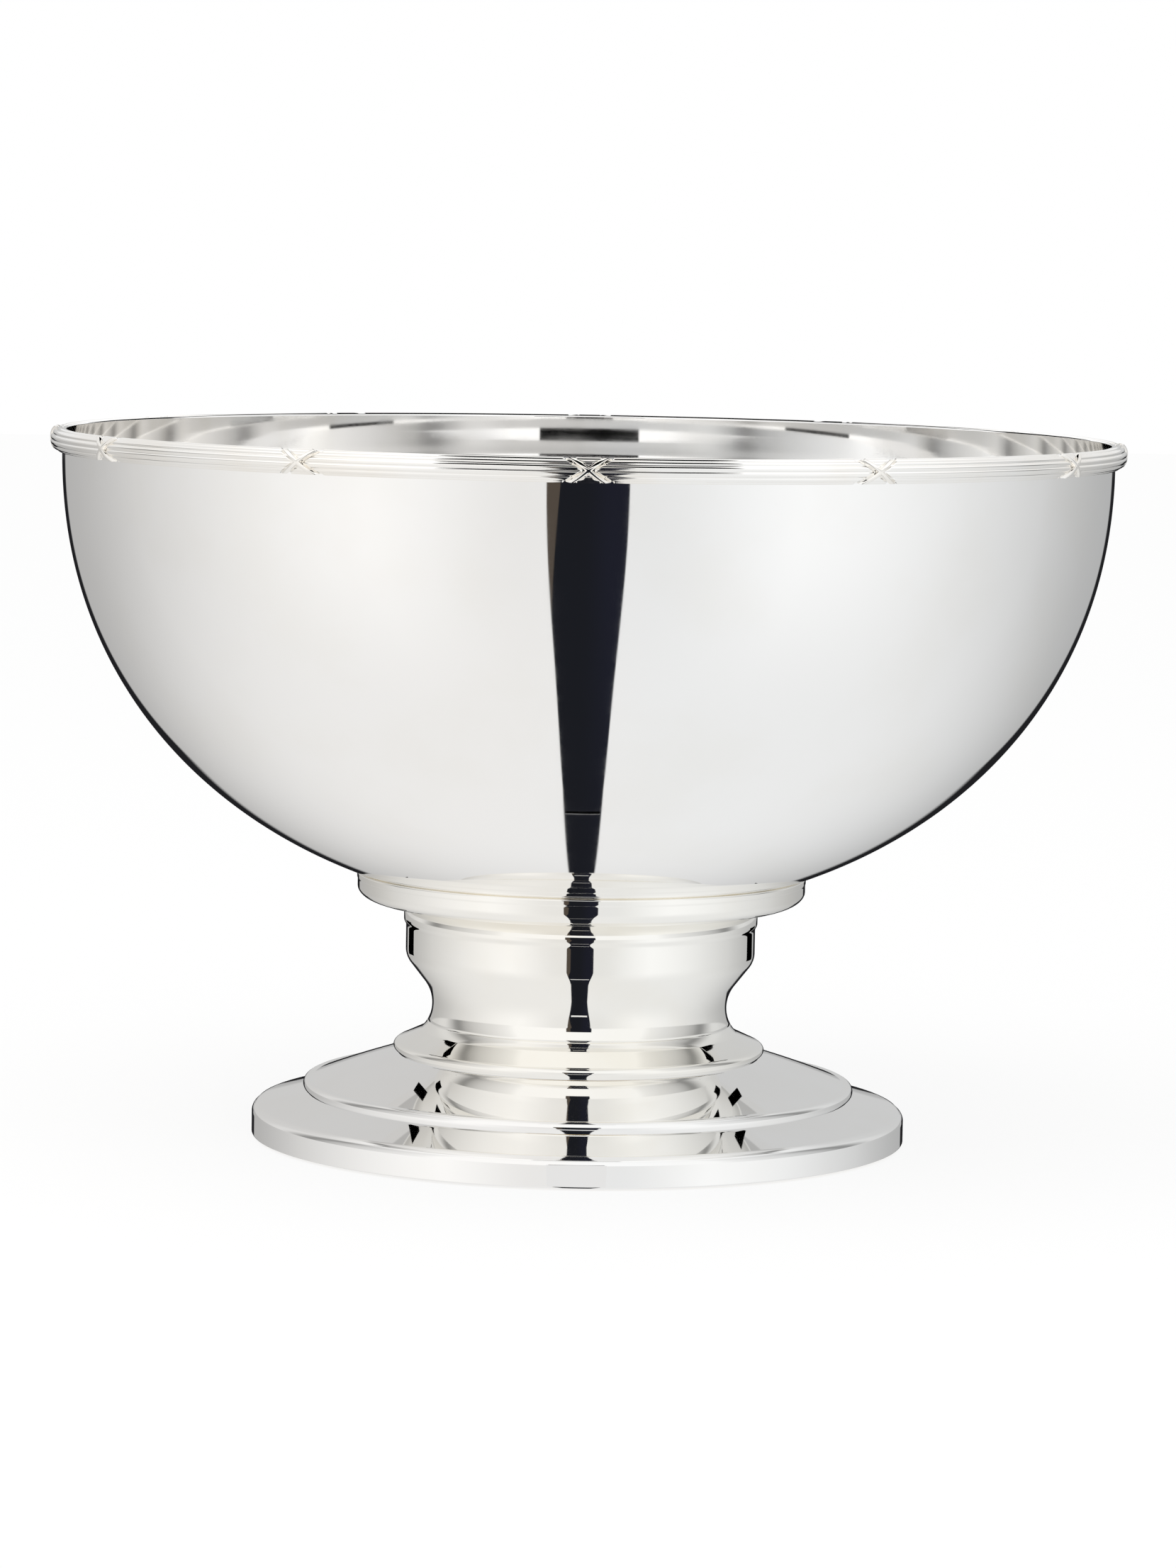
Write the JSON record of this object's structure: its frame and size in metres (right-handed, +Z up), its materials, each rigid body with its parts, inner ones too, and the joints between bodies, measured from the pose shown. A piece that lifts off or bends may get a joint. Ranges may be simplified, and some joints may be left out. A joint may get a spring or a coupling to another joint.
{
  "type": "punch bowl",
  "caption": "Silver-plated punch bowl with a reeded border and crossed-ribbon ties, on a turned pedestal with a waisted neck and a tiered round foot.",
  "frame": {"origin": "centre of the underside of the base, on the surface the bowl stands on", "axes": "+Z up along the bowl's axis, -Y towards the viewer; one ribbon tie faces -Y"},
  "size_m": [0.3822, 0.3822, 0.251],
  "materials": {
    "silver_plate": "mirror-polished silver plate on spun brass",
    "silver_trim": "polished silver plate on cast brass, a little warmer in the recesses",
    "bare_brass": "bare turned brass",
    "steel": "plain zinc-coated steel",
    "felt": "dark green pressed felt"
  },
  "bodies": {
    "root": {"bowl_shell": "silver_plate", "rim_border": "silver_plate", "bowl_collar": "silver_plate", "neck_drum": "silver_plate", "foot_dome": "silver_plate", "foot_tier": "silver_plate", "foot_base": "silver_plate", "ribbon_tie_01": "silver_trim", "ribbon_tie_02": "silver_trim", "ribbon_tie_03": "silver_trim", "ribbon_tie_04": "silver_trim", "ribbon_tie_05": "silver_trim", "ribbon_tie_06": "silver_trim", "ribbon_tie_07": "silver_trim", "ribbon_tie_08": "silver_trim", "ribbon_tie_09": "silver_trim", "ribbon_tie_10": "silver_trim", "ribbon_tie_11": "silver_trim", "ribbon_tie_12": "silver_trim", "bowl_boss": "bare_brass", "stem_spacer": "bare_brass", "tie_nut": "bare_brass", "base_wire": "bare_brass", "tie_stud": "steel", "foot_bridge": "steel", "lock_washer": "steel", "base_plate": "steel", "felt_pad": "felt"}
  },
  "joints": []
}
